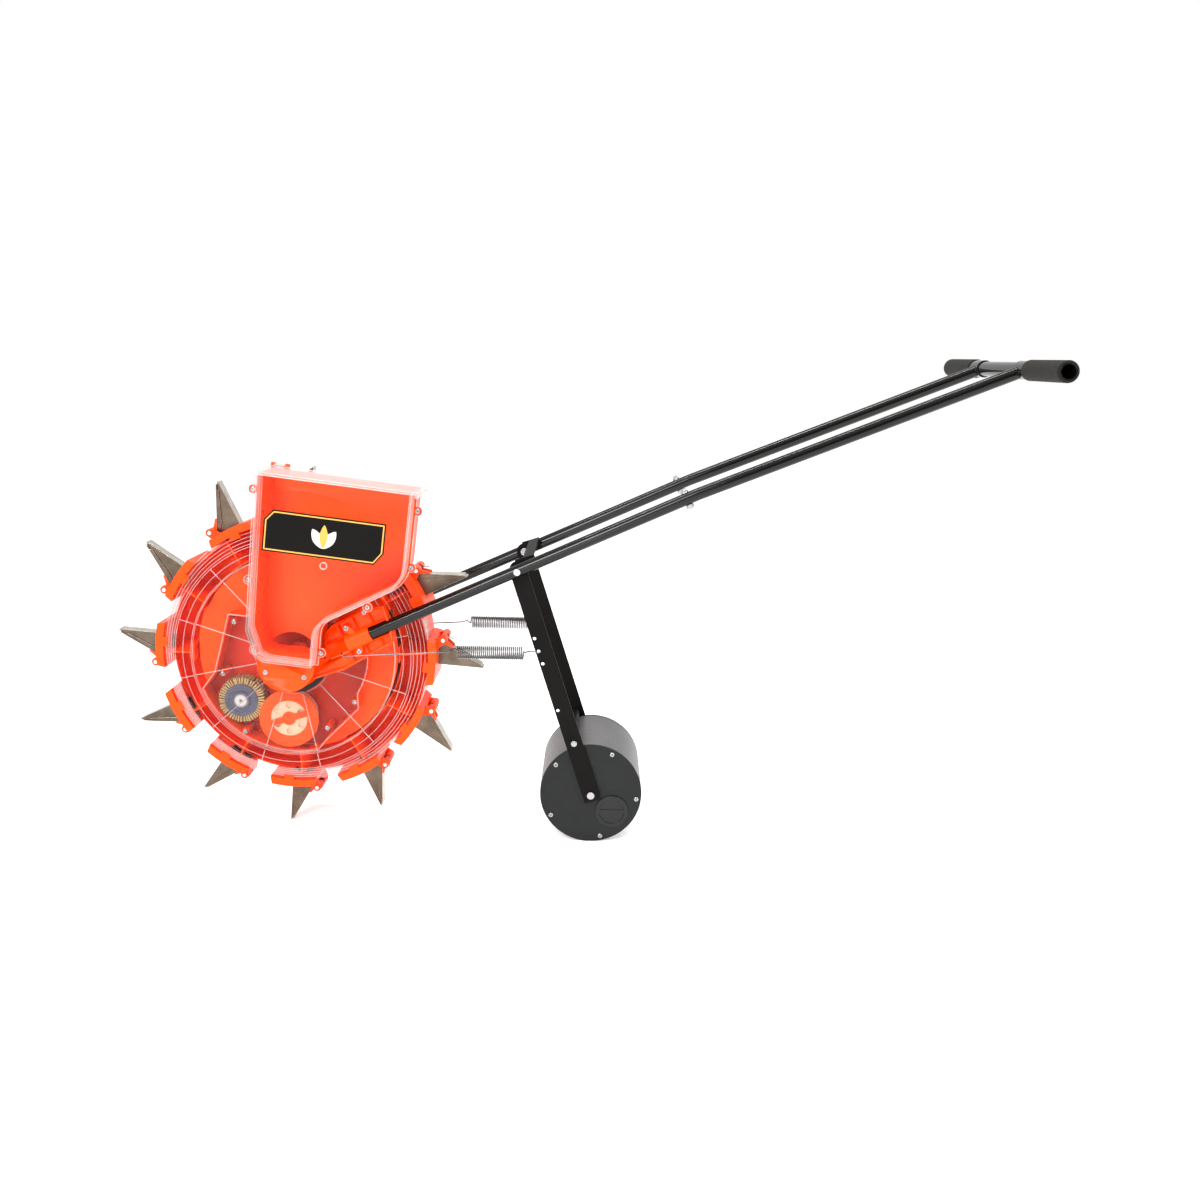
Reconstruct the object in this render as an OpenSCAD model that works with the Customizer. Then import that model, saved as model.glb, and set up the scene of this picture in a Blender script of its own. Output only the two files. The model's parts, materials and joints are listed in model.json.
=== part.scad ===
// Push seeder: a hand-pushed rolling seed planter with twelve opening bills round its wheel,
// a hopper, a metering unit geared to the wheel, and a sprung press roller.
// X runs from the wheel to the handle, Y from the hopper side to the far side, Z up.
// The origin is on the ground, under the middle of the whole machine.

/* [Wheel] */
// Radius of the wheel at the tips of its fixed bills
tip_r = 300; // [298:0.5:302]
// Radius of the wheel's rim
rim_r = 213; // [212.5:0.25:213.5]
// Thickness of the wheel's moulded walls
shell_t = 2.5; // [2:0.25:2.75]
// Widest opening angle of a bill
bill_open = 18; // [10:1:18]

/* [Frame] */
// Distance of each side tube from the middle plane
tube_y = 100; // [99.5:0.25:101]
// Outer radius of the side tubes
tube_r = 9.5; // [9.25:0.25:10]
// Half the length of the handle bar
bar_half = 267; // [230:1:300]
// Outer radius of the foam grips
grip_r = 15.5; // [14:0.5:18]

/* [Hopper] */
// Depth of the clear front half of the hopper
hopper_front_d = 36; // [24:1:44]
// Height of the hopper's mouth above the wheel's axle
hopper_top = 298; // [280:1:310]
// Forward lean of the hopper and its bracket
hopper_lean = 6.6; // [6:0.1:7]

/* [Press roller] */
// Radius of the press roller
roller_r = 82.5; // [80:0.5:84]
// Half the width of the roller over its end caps
roller_half = 81.8; // [78:0.2:82]

/* [Hidden] */
$fn = 64;
BILLS = 12;

// Running clearance of every turning fit, on the radius
run = 0.05;
// A little extra so that cuts pass right through
over = 1;

// Planting units: angle of the first unit, and the pitch between units
unit_a0 = 25.36;
unit_pitch = 360 / BILLS;
// Ribs and screws of the clear cover sit half-way between the first bills
rib_turn = 16.5;
low_a = unit_a0 + 8 * unit_pitch;
front_a = unit_a0 + 5 * unit_pitch;
// The fixed bill's lowest corner, beside the unit's radius
tip_t = -2.7;

// Handle bar's place from the wheel's axle
bar_x = 1117;
bar_z = 471.1;
bar_r = 12;
bar_bore_r = 10.2;
bar_collar_r = 14;
grip_start = 125;

// The wheel's axle stands so high that the lowest bill touches the ground
axle_z = -(tip_r * sin(low_a) + tip_t * cos(low_a));
front_reach = -(tip_r * cos(front_a) - tip_t * sin(front_a));
axle_x = (front_reach - bar_x - grip_r) / 2;
axle_r = 8;
axle_half = 106;

// Wheel shell profile, radius and place along Y
disc_r = 161;
disc_y = 62.5;
step_y = 65.5;
slope_r = 190;
wall_y = 44;
bush_r = 58;
bush_in_y = 58;
bush_out_y = 66;
collar_r = 50;
chamber_r = 165;
partition_r = 208;

// Bill seat
seat_top_r = 225.5;
seat_half = 50;
seat_t0 = -32.5;
seat_t1 = 42.5;
mouth_t0 = -4;
mouth_t1 = 34;
mouth_half = 11;

// Bill hinge, in a unit's own plane: along the radius, and across it
pin_x = 232;
pin_t = 41;
pin_r = 2;
barrel_r = 6.5;
barrel_half = 21.5;
lug_half = 28;
spring_half = 7;
spring_r = 4.6;

// Steel of the bills
sheet = 1.5;
fixed_half = 11;
moving_half = 13;
web_root = [226, 36];
web_tip = [297.5, 0.75];
web_gap = 2;
web_dir = unit(web_tip - web_root);
web_out = [-web_dir[1], web_dir[0]];

// Gears: module, teeth, width along Y
gear_m = 4;
ring_teeth = 72;
roller_teeth = 18;
brush_teeth = 12;
gear_y0 = -11;
gear_y1 = 2;
ring_back_r = 156;

// Metering unit
roller_a = 262.5;
brush_a = 220.7;
roller_d = gear_m * (ring_teeth - roller_teeth) / 2;
brush_d = gear_m * (ring_teeth - brush_teeth) / 2;
roller_at = roller_d * [cos(roller_a), sin(roller_a)];
brush_at = brush_d * [cos(brush_a), sin(brush_a)];
seed_flange_r = 48;
seed_drum_r = 42;
seed_shaft_r = 6;
brush_r = 38;
brush_shaft_r = 5;
meter_r = 161.5;
meter_wall = 2;
meter_plate_y = -14;
meter_cover_y = -57;
METER_SCREWS = [[-95, 54], [-117, -32], [-85, -129], [49, -121], [94, -76]];
meter_disc_y = -26;

// Hopper, in its own leaning plane: u along its top, v up
hopper_back_y = -70;
hopper_split_y = -134;
hopper_front_y = hopper_split_y - hopper_front_d;
hopper_t = 2.5;
flange_w = 4;
HOPPER_LUGS = [[182.5, 270], [181.5, 183], [121.7, 113.3], [57.7, 32.5], [-44.5, 23.5], [-61, 132], [-64, 271]];
lug_r = 7;
throat_r = 43;
throat_v = 19;
lid_t = 3.5;
arch_r = 268;
// Small boss on the clear front, moulded where the plastic was let in
front_boss_at = [56.6, 175.1];
front_boss_r = 5;
// Lid hinge: middle of its barrel, and the barrel's length
lid_hinge_u = -44;
barrel_len = 15;
ear_t = 6;
lid_hinge_y = -66;
lid_hinge_v = hopper_top + 4;

// Brackets and tubes: the side tube's line passes through the saddle and the leg's pivot
saddle_at = [120.6, 44.5];
pivot_at = [360, 152.5];
lower_a = atan2(pivot_at[1] - saddle_at[1], pivot_at[0] - saddle_at[0]);
joint_at = along(pivot_at, lower_a, 301.9);
upper_a = atan2(bar_z - joint_at[1], bar_x - joint_at[0]);
upper_len = norm([bar_x, bar_z] - joint_at);
tube_wall = 1.5;
tube_start = along(saddle_at, lower_a, -18);
lower_len = norm(joint_at - tube_start);
spigot_len = 50;
plate_y0 = 94;
plate_y1 = 98;
rib_y = 104;
boss_y = 113;
boss_r = 45;
boss_cut_v = 15.5;
BRACKET = [
    [30, -32], [40, -26], [92, -8], [166, 36], [163, 62], [152, 94],
    [118, 86], [70, 60], [60, 48], [60, 8], [30, 10]
];
BOSS_SCREWS = [[-32, -13], [28, -20]];
SADDLE_SCREWS = [[94.4, 58.5], [114.2, 21.8]];
plate_screw = [122, 84];
saddle_len = 40;
saddle_r = 13.5;

// Leg, from its pivot down to the roller's centre
roller_at_xz = [479.4, roller_r - axle_z];
leg_a = atan2(roller_at_xz[1] - pivot_at[1], roller_at_xz[0] - pivot_at[0]);
leg_len = norm(roller_at_xz - pivot_at);
arm_y0 = 86.8;
arm_t = 3;
arm_w = 27;
arm_end = 11;
LEG_HOLES = [112.8, 134.2, 155.7, 236.2];
leg_hole_t = -8.5;
leg_hole_r = 2.75;
pivot_r = 4;
pivot_head_r = 5.4;
tie_s = 295.8;
tie_r = 6;
tie_head_r = 4.8;

// Roller
drum_t = 3;
cap_t = 3.8;
roller_bore_r = 4.2;
roller_head_r = 6;
nut_t = 4;
CAP_SCREW_ANGLES = [140, 63.4, -6.6, -77.3, 210.4];
cap_screw_ring = 74.7;
plug_d = 46;
plug_a = -41;
plug_r = 27;
plug_neck_r = 22;

// Springs
hook_at = [88.7, 13];
coil_r = 11;
wire_r = 1.3;
coil_x0 = 267;
coil_x1 = 370;
coil_z = 23;
spring_y = 106;
spring_hole = along(along(pivot_at, leg_a, LEG_HOLES[1]), leg_a + 90, leg_hole_t);

function unit(v) = v / norm(v);
function along(p, a, d) = p + d * [cos(a), sin(a)];
function arc(centre, r, a0, a1, steps) =
    [for (i = [0:steps]) centre + r * [cos(a0 + (a1 - a0) * i / steps), sin(a0 + (a1 - a0) * i / steps)]];
function edge_out(a, b) = unit([b[1] - a[1], a[0] - b[0]]);
// Moves every edge of a closed outline outwards by g
function grow(p, g) = [
    for (i = [0:len(p) - 1])
        let (n = len(p), before = edge_out(p[(i + n - 1) % n], p[i]), after = edge_out(p[i], p[(i + 1) % n]))
        p[i] + g * (before + after) / (1 + before * after)
];
// Point on a bill's slanted web: s along the web, d outwards from it
function web(s, d) = web_root + s * web_dir + d * web_out;
web_len = norm(web_tip - web_root);

// Housing outline: round the brush and the roller, and round the hub on the right
METER_OUTLINE = concat(
    [[-60, 62], [-104, 66], [-130, -30], [-175, -90], [-110, -175], [20, -175], [46, -142], [100, -88]],
    arc([0, 0], 117, -32, 25, 8),
    [[58, 56]]
);

// Hopper outline up to a given height
slope_a = 32.07;
function hopper_outline(top) = concat(
    [[-55, top], [-50, 62], [-34, 23], [-20, 16.4], [51, 16.4]],
    arc([81, 64], 30, 180, 90 + slope_a, 8),
    arc([126, 187.8], 50, slope_a - 90, 0, 10),
    [[176, top]]
);

// Rod along Y
module rod_y(r, y0, y1)
    translate([0, y0, 0]) rotate([-90, 0, 0]) cylinder(r = r, h = y1 - y0);
// Flat outline in the XZ plane, thick along Y
module xz(y0, y1)
    translate([0, y1, 0]) rotate([90, 0, 0]) linear_extrude(y1 - y0) children();
// Profile turned round the Y axis: x is the radius, y the place along Y
module turned() rotate([-90, 0, 0]) rotate_extrude($fn = 128) children();
module ring_y(r0, r1, y0, y1) turned() translate([r0, y0]) square([r1 - r0, y1 - y0]);
module at(p) translate([p[0], 0, p[1]]) children();
module swing(a) rotate([0, -a, 0]) children();
module bar(p, a, length, r) at(p) swing(a) rotate([0, 90, 0]) cylinder(r = r, h = length);
module on_axle() translate([axle_x, 0, axle_z]) children();
module both_sides() {
    children();
    mirror([0, 1, 0]) children();
}
module each_unit() for (i = [0:BILLS - 1]) swing(unit_a0 + i * unit_pitch) children();
module one_unit(number) on_axle() swing(unit_a0 + (number - 1) * unit_pitch) children();
module leaning() swing(-hopper_lean) children();

// Pan head screw with its head's outer face at place y, pointing to +Y
module screw_y(p, y, head_r, head_t, shank_r, length) at(p) {
    rod_y(head_r, y, y + head_t);
    rod_y(shank_r, y + head_t, y + head_t + length);
}

// ---- Wheel ----
module shell_profile(bore, inner_y) polygon([
    [bore, -disc_y], [disc_r, -disc_y], [disc_r + 2.5, -step_y], [slope_r, -step_y],
    [rim_r, -wall_y], [rim_r, 0], [rim_r - shell_t, 0], [rim_r - shell_t, 1 - wall_y],
    [slope_r - 1, shell_t - step_y], [disc_r + 5, shell_t - step_y], [disc_r + 2, inner_y], [bore, inner_y]
]);

module mouth_cuts() each_unit()
    translate([rim_r - 10, -mouth_half, mouth_t0 + 2]) cube([20, 2 * mouth_half, mouth_t1 - mouth_t0 - 4]);

module clear_cover() color([0.95, 0.45, 0.35, 0.35]) on_axle() {
    difference() {
        union() {
            turned() shell_profile(bush_r + 3, shell_t - disc_y);
            ring_y(bush_r, bush_r + 3, -bush_out_y, -bush_in_y);
            each_unit() swing(rib_turn) translate([bush_r + 3, -disc_y - 1, -0.6])
                cube([disc_r - bush_r - 3, 1, 1.2]);
        }
        mouth_cuts();
    }
}

module back_shell() color([1, 0.35, 0.12]) on_axle() {
    difference() {
        union() {
            mirror([0, 1, 0]) turned() shell_profile(18, shell_t - disc_y);
            ring_y(axle_r + run, 18, 40, bush_out_y);
            ring_y(ring_back_r - 4, ring_back_r, gear_y1, disc_y - shell_t);
        }
        mouth_cuts();
    }
    difference() {
        ring_y(chamber_r, chamber_r + 2, -45, step_y - shell_t / 2);
        each_unit() swing(5 + unit_pitch / 2) translate([chamber_r - 5, -46, -30]) cube([12, 32, 60]);
    }
    each_unit() swing(5) translate([0, 0, -1]) linear_extrude(2) polygon([
        [chamber_r + 1, -45], [partition_r, -40], [partition_r, wall_y + 2],
        [slope_r - 1, step_y - 1], [chamber_r + 1, step_y - 1]
    ]);
}

module hub_bush() color([0.08, 0.08, 0.08]) on_axle()
    ring_y(collar_r, bush_r, -bush_out_y, -bush_in_y);

// Gear outlines: straight-flanked teeth close to an involute's, with a little backlash
tooth_tip = 3.2;
tooth_root = 4.2;
function tooth(r, teeth, i, outward) =
    let (step = 360 / teeth, root_w = 0.32, pitch_w = 0.235, tip_w = 0.13, a = i * step)
    [
        (r - outward * tooth_root) * [cos(a - root_w * step), sin(a - root_w * step)],
        r * [cos(a - pitch_w * step), sin(a - pitch_w * step)],
        (r + outward * tooth_tip) * [cos(a - tip_w * step), sin(a - tip_w * step)],
        (r + outward * tooth_tip) * [cos(a + tip_w * step), sin(a + tip_w * step)],
        r * [cos(a + pitch_w * step), sin(a + pitch_w * step)],
        (r - outward * tooth_root) * [cos(a + root_w * step), sin(a + root_w * step)]
    ];
module gear_outline(teeth, outward) polygon([
    for (i = [0:teeth - 1]) each tooth(gear_m * teeth / 2, teeth, i, outward)
]);
// Turn that puts a pinion tooth into the ring's gap nearest to the pinion
function pinion_turn(a, teeth) =
    let (step = 360 / ring_teeth, gap = (floor(a / step) + 0.5) * step)
    a + (gap - a) * ring_teeth / teeth;

module ring_gear() color([1, 0.38, 0.13]) on_axle() xz(gear_y0, gear_y1) difference() {
    circle(r = ring_back_r, $fn = 128);
    gear_outline(ring_teeth, -1);
}

module bill_seats() color([1, 0.36, 0.12]) on_axle() each_unit() difference() {
    union() {
        intersection() {
            ring_y(rim_r, seat_top_r, -seat_half, seat_half);
            xz(-seat_half, seat_half) polygon([
                [190, seat_t0 + 1.5], [208, seat_t0], [230, -28], [230, 39], [208, seat_t1], [190, seat_t1 - 1.5]
            ]);
        }
        both_sides() intersection() {
            turned() polygon([
                [rim_r, -wall_y], [206.5, -wall_y - 6.2], [205.6, -seat_half - 2], [212, -seat_half - 2],
                [rim_r + 5, -seat_half], [rim_r + 5, -wall_y]
            ]);
            xz(-seat_half - 2, seat_half + 2) translate([195, -9]) square([30, 16]);
        }
        both_sides() xz(barrel_half + 0.5, lug_half) {
            translate([pin_x, pin_t]) circle(r = barrel_r);
            polygon([[219, 24], [219, 41.5], [pin_x - 4, pin_t + 5], [pin_x + 5, pin_t - 4], [222, 24]]);
        }
    }
    translate([rim_r - 10, -mouth_half, mouth_t0]) cube([30, 2 * mouth_half, mouth_t1 - mouth_t0]);
    translate([pin_x, 0, pin_t]) rod_y(pin_r, -lug_half - over, lug_half + over);
}

// Fixed bill: a channel with its web on the leading side and two side walls
module fixed_outline() polygon([
    [rim_r + 1, mouth_t0 + 0.1], [rim_r + 1, mouth_t1 - 0.1], [web(0, 0)[0] - 0.6, mouth_t1 - 0.1],
    web(6, -web_gap), web(web_len - 2, -web_gap), [tip_r, tip_t], [tip_r, mouth_t0 + 0.1]
]);
module fixed_bills() color([0.6, 0.58, 0.55]) on_axle() each_unit() difference() {
    xz(-fixed_half, fixed_half) fixed_outline();
    xz(sheet - fixed_half, fixed_half - sheet) translate([rim_r - over, mouth_t0 + sheet])
        square([tip_r - rim_r + 2 * over, 60]);
}

// Moving bill: a wider channel whose web is the slanted side; its lips run outside the fixed walls
module moving_bill_shape() {
    xz(-moving_half, moving_half) polygon([
        web(0.5, 0), web(web_len, 0), web(web_len, -sheet), web(0.5, -sheet)
    ]);
    both_sides() xz(moving_half - sheet, moving_half) polygon([
        web(6, -sheet / 2), web(web_len - 8, -sheet / 2), web(web_len - 12, -5), web(18, -8.5), web(8, -6)
    ]);
}
module moving_bill(number) color([0.66, 0.64, 0.6]) one_unit(number) moving_bill_shape();

// Press lever: knuckles on the pin, joined by a heel, and plates riveted to the bill
module bill_lever_shape() difference() {
    union() {
        both_sides() xz(spring_half + 0.5, barrel_half) translate([pin_x, pin_t]) circle(r = barrel_r);
        xz(-barrel_half, barrel_half) translate([pin_x, pin_t]) polygon([
            [-3.5, spring_r + 0.4], [3.5, spring_r + 0.4], [2.5, barrel_r + 1], [-2.5, barrel_r + 1]
        ]);
        both_sides() xz(spring_half + 0.5, moving_half) polygon([
            web(1, 0.02), web(24, 0.02), web(24, 2.5), web(8, 6), web(3, 6)
        ]);
    }
    translate([pin_x, 0, pin_t]) rod_y(pin_r + run, -lug_half, lug_half);
}
module bill_lever(number) color([1, 0.5, 0.35]) one_unit(number) bill_lever_shape();

module hinge_pins() color([0.75, 0.75, 0.77]) on_axle() each_unit()
    translate([pin_x, 0, pin_t]) {
        rod_y(pin_r, -lug_half - 0.5, lug_half + 0.5);
        both_sides() rod_y(3.4, -lug_half - 2, -lug_half);
    }

module bill_springs() color([0.2, 0.2, 0.2]) on_axle() each_unit() translate([pin_x, 0, pin_t])
    ring_y(pin_r + 0.8, spring_r, -spring_half, spring_half);

module cover_screws() color([0.85, 0.85, 0.87]) on_axle() each_unit() swing(rib_turn)
    translate([(disc_r + slope_r) / 2 + 2, 0, 0]) mirror([0, 1, 0]) rod_y(4, -step_y - 2.2, -step_y);

// ---- Metering ----
module meter_outline(inset) intersection() {
    circle(r = meter_r - inset, $fn = 128);
    polygon(grow(METER_OUTLINE, -inset));
}
module meter_plate() color([0.9, 0.25, 0.15]) on_axle() difference() {
    union() {
        xz(meter_plate_y - 4, meter_plate_y) meter_outline(0);
        // Wide disc round the housing that closes the middle of the wheel
        xz(meter_disc_y - 3, meter_disc_y) difference() {
            circle(r = meter_r, $fn = 128);
            meter_outline(meter_wall / 2);
        }
        xz(meter_cover_y + 3, meter_plate_y - 4) difference() {
            meter_outline(0);
            meter_outline(meter_wall);
        }
        rod_y(16, -30, meter_plate_y - 4);
        for (p = METER_SCREWS) at(p) rod_y(5, meter_cover_y + 3, meter_plate_y - 4);
        at(roller_at) rod_y(12, -22, meter_plate_y);
    }
    rod_y(axle_r, -40, 0);
    at(roller_at) rod_y(seed_shaft_r + run, -40, 0);
    at(brush_at) rod_y(brush_shaft_r + run, -40, 0);
    for (p = METER_SCREWS) at(p) rod_y(1.6, meter_cover_y, -30);
    // Drop-out below the seed roller
    swing(roller_a + 12) translate([meter_r - 12, -48, -14]) cube([20, 26, 28]);
}

module meter_cover() color([0.9, 0.5, 0.45, 0.3]) on_axle() difference() {
    xz(meter_cover_y, meter_cover_y + 3) difference() {
        meter_outline(0);
        circle(r = collar_r + 0.5, $fn = 96);
    }
    for (p = METER_SCREWS) at(p) rod_y(1.6, meter_cover_y - 1, meter_cover_y + 4);
}

CELLS = 12;
module seed_roller() color([1, 0.4, 0.15]) on_axle() at(roller_at) difference() {
    union() {
        difference() {
            rod_y(seed_flange_r, -53, -50);
            // Two kidney windows, left as half rings either side of a rib across the middle
            xz(-54, -49) rotate(17) for (side = [0, 1]) mirror([0, side]) difference() {
                circle(r = 30);
                circle(r = 11);
                translate([-40, -35]) square([80, 40]);
            }
        }
        rod_y(seed_drum_r, -50, -24);
        rod_y(seed_shaft_r, -53.4, 3);
    }
    // Seed cells round the drum
    for (i = [0:CELLS - 1]) swing(i * 360 / CELLS) translate([seed_drum_r + 2, -37, 0])
        sphere(r = 6, $fn = 32);
    for (i = [0:CELLS / 2 - 1]) swing((i + 0.5) * 720 / CELLS) translate([22, 0, 0]) rod_y(5, -51, -47);
}

module pinion(teeth, a, bore) xz(gear_y0 + 0.5, gear_y1 - 0.5) difference() {
    rotate(pinion_turn(a, teeth)) gear_outline(teeth, 1);
    circle(r = bore);
}
module roller_gear() color([0.85, 0.85, 0.82]) on_axle() at(roller_at)
    pinion(roller_teeth, roller_a, seed_shaft_r);

module brush_bristles() color([0.72, 0.55, 0.3]) on_axle() at(brush_at) ring_y(14, brush_r, -49, -25);
module brush_hub() color([0.3, 0.32, 0.42]) on_axle() at(brush_at) {
    difference() {
        rod_y(27, -51.5, -49);
        rod_y(20, -52, -50.5);
    }
    rod_y(14, -49, -22);
    rod_y(brush_shaft_r, -22, gear_y0 + 0.5);
    xz(gear_y0 + 0.5, gear_y1 - 0.5) rotate(pinion_turn(brush_a, brush_teeth)) gear_outline(brush_teeth, 1);
    rod_y(15, -53.4, -50.5);
}

// ---- Hopper ----
module hopper_half(y0, y1, flange_y0, flange_y1) {
    xz(y0, y1) difference() {
        polygon(hopper_outline(hopper_top));
        polygon(grow(hopper_outline(hopper_top + 10), -hopper_t));
    }
    xz(flange_y0, flange_y1) difference() {
        union() {
            difference() {
                polygon(grow(hopper_outline(hopper_top), flange_w));
                translate([-200, hopper_top]) square([500, 20]);
            }
            for (p = HOPPER_LUGS) translate(p) circle(r = lug_r);
        }
        polygon(grow(hopper_outline(hopper_top + 10), -hopper_t / 2));
        for (p = HOPPER_LUGS) translate(p) circle(r = 1.6);
    }
}

// Opening through which seed falls into the hub
module throat() intersection() {
    circle(r = throat_r, $fn = 96);
    translate([-throat_r, throat_v]) square([2 * throat_r, throat_r]);
}

module hopper_back() color([1, 0.35, 0.12]) on_axle() leaning() {
    hopper_half(hopper_split_y, hopper_back_y - hopper_t, hopper_split_y, hopper_split_y + 2.5);
    xz(hopper_back_y - hopper_t, hopper_back_y) difference() {
        polygon(hopper_outline(hopper_top));
        throat();
    }
    // Arched bead across the back wall, over the wheel's rim
    intersection() {
        turned() translate([arch_r, hopper_back_y - hopper_t]) polygon([
            [-5, 0.5], [-5, 0], [-2, -2], [2, -2], [5, 0], [5, 0.5]
        ]);
        xz(hopper_split_y, hopper_back_y) polygon(grow(hopper_outline(hopper_top), -1));
    }
    // Lid hinge: two ears with a pin between them
    for (u = [-barrel_len / 2 - 0.5 - ear_t, barrel_len / 2 + 0.5]) hinge_ear(lid_hinge_u + u, ear_t);
    along_hinge(barrel_len + 3) cylinder(r = 2, h = barrel_len + 3);
}

module along_hinge(length)
    translate([lid_hinge_u - length / 2, lid_hinge_y, lid_hinge_v]) rotate([0, 90, 0]) children();
module hinge_ear(u, width) {
    translate([u, lid_hinge_y, lid_hinge_v]) rotate([0, 90, 0]) cylinder(r = 4.5, h = width);
    translate([u, hopper_back_y, hopper_top - 14]) cube([width, lid_hinge_y - hopper_back_y + 2, 14]);
    translate([u, lid_hinge_y - 2, hopper_top - 1]) cube([width, 5, 4]);
}

module hopper_front() color([0.95, 0.5, 0.4, 0.35]) on_axle() leaning() {
    hopper_half(hopper_front_y + hopper_t, hopper_split_y, hopper_split_y - 2.5, hopper_split_y);
    xz(hopper_front_y, hopper_front_y + hopper_t) polygon(hopper_outline(hopper_top));
    at(front_boss_at) rod_y(front_boss_r, hopper_front_y - 0.6, hopper_front_y + hopper_t + 1.8);
}

module hopper_lid() color([0.95, 0.9, 0.9, 0.4]) on_axle() leaning() difference() {
    union() {
        translate([-58, hopper_front_y - 2, hopper_top + 0.1])
            cube([244, hopper_back_y + 0.5 - hopper_front_y + 2, lid_t]);
        translate([182.5, hopper_front_y - 2, hopper_top - 4])
            cube([3.5, hopper_back_y + 0.5 - hopper_front_y + 2, 5]);
        // Barrel on the hinge pin
        along_hinge(barrel_len) cylinder(r = 4, h = barrel_len);
        translate([lid_hinge_u - barrel_len / 2, hopper_back_y - 4, hopper_top + 1.5]) cube([barrel_len, 6, 4]);
    }
    along_hinge(barrel_len + 2) cylinder(r = 2 + run, h = barrel_len + 2);
    for (u = [-barrel_len / 2 - 0.2 - ear_t - 1.1, barrel_len / 2 + 0.2])
        translate([lid_hinge_u + u, hopper_back_y - 3, hopper_top - 1]) cube([ear_t + 1.1, 20, 12]);
}

// ---- Brackets and frame ----
module axle() color([0.7, 0.7, 0.72]) on_axle() difference() {
    rod_y(axle_r, -axle_half, axle_half);
    rod_y(axle_r - 2, -axle_half - over, axle_half + over);
}

module bracket_arm() {
    difference() {
        union() {
            xz(-plate_y1, -plate_y0) polygon(BRACKET);
            xz(-rib_y, -plate_y1) difference() {
                polygon(BRACKET);
                polygon(grow(BRACKET, -3));
            }
            // Trough walls beside the tube, and cross ribs
            intersection() {
                xz(-rib_y, -plate_y1) polygon(BRACKET);
                at(saddle_at) swing(lower_a) for (t = [-tube_r - 4, tube_r + 1])
                    translate([-62, -rib_y, t]) cube([125, rib_y - plate_y1, 3]);
            }
            intersection() {
                xz(-rib_y, -plate_y1) polygon(BRACKET);
                at(saddle_at) swing(lower_a) for (s = [-30, -4, 22]) for (t = [-45, tube_r + 3])
                    translate([s, -rib_y + 2, t]) cube([2.5, rib_y - plate_y1 - 2, 45 - tube_r - 3]);
            }
            for (p = concat(SADDLE_SCREWS, [plate_screw])) at(p) rod_y(6, -rib_y, -plate_y1);
        }
        for (p = concat(SADDLE_SCREWS, [plate_screw])) at(p) rod_y(2, -rib_y - over, -plate_y0 + over);
        at(hook_at) rod_y(wire_r + 0.3, -rib_y - over, -plate_y0 + over);
        tube_room();
    }
}
module tube_room() both_sides() translate([0, -tube_y, 0]) bar(tube_start, lower_a, 160, tube_r);

module boss_outline(r) intersection() {
    circle(r = r, $fn = 96);
    rotate(-hopper_lean) translate([-60, -60]) square([120, 60 + boss_cut_v]);
}

module near_bracket() color([1, 0.38, 0.13]) on_axle() difference() {
    union() {
        difference() {
            bracket_arm();
            rod_y(boss_r, -boss_y - over, -plate_y0 + over);
        }
        xz(-boss_y, 3 - boss_y) boss_outline(boss_r);
        xz(3 - boss_y, hopper_back_y + 0.5) difference() {
            boss_outline(boss_r);
            boss_outline(boss_r - 3);
        }
        rod_y(13, 3 - boss_y, -52);
        for (p = BOSS_SCREWS) at(p) rod_y(5, 3 - boss_y, hopper_back_y + 0.5);
        rod_y(collar_r - run, hopper_back_y + 0.5, hopper_back_y + 3.5);
        ring_y(collar_r - 6, collar_r - run, hopper_back_y + 3.5, -50);
    }
    rod_y(axle_r, -axle_half, 0);
    for (p = BOSS_SCREWS) at(p) rod_y(2, -boss_y - over, -90);
    leaning() xz(hopper_back_y, -50) throat();
}

module far_bracket() color([1, 0.38, 0.13]) on_axle() mirror([0, 1, 0]) difference() {
    union() {
        difference() {
            bracket_arm();
            rod_y(boss_r, -boss_y - over, -plate_y0 + over);
        }
        rod_y(boss_r, -rib_y, 4 - rib_y);
        ring_y(boss_r - 3, boss_r, 4 - rib_y, 2 - plate_y0);
        rod_y(14, 4 - rib_y, -67);
        for (a = [30:60:330]) swing(a) translate([13, 4 - rib_y, -1.25]) cube([30, 20, 2.5]);
    }
    rod_y(axle_r, -axle_half - over, 0);
}

// Saddles: a half shell over each tube's end with two ears
module tube_saddles() color([1, 0.4, 0.15]) on_axle() both_sides() difference() {
    union() {
        translate([0, -tube_y, 0]) bar(along(saddle_at, lower_a, -saddle_len / 2 - 8), lower_a, saddle_len, saddle_r);
        for (p = SADDLE_SCREWS) saddle_ear(p);
    }
    tube_room();
    translate([0, -rib_y, -100]) cube([300, 60, 400]);
    for (p = SADDLE_SCREWS) at(p) rod_y(2, -130, -80);
}
module saddle_ear(p) xz(-rib_y - 3, -rib_y) {
    translate(p) circle(r = 5.2);
    translate(p) rotate(atan2(saddle_at[1] - p[1], saddle_at[0] - 8 - p[0])) translate([0, -5]) square([14, 10]);
}

module frame_screws() color([0.85, 0.85, 0.87]) on_axle() {
    for (p = METER_SCREWS) screw_y(p, meter_cover_y - 1.4, 4, 1.4, 1.6, 12);
    for (p = BOSS_SCREWS) screw_y(p, -boss_y - 2, 4.2, 2, 2, 12);
    leaning() for (p = HOPPER_LUGS) screw_y(p, hopper_split_y - 4.5, 4, 2, 1.6, 5.5);
    both_sides() for (p = SADDLE_SCREWS) screw_y(p, -rib_y - 5.2, 4.2, 2.2, 2, 14);
    both_sides() screw_y(plate_screw, -rib_y - 2.2, 4.2, 2.2, 2, 14);
}

module tube(start, a, length) difference() {
    bar(start, a, length, tube_r);
    bar(along(start, a, -over), a, length + 2 * over, tube_r - tube_wall);
}

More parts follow.
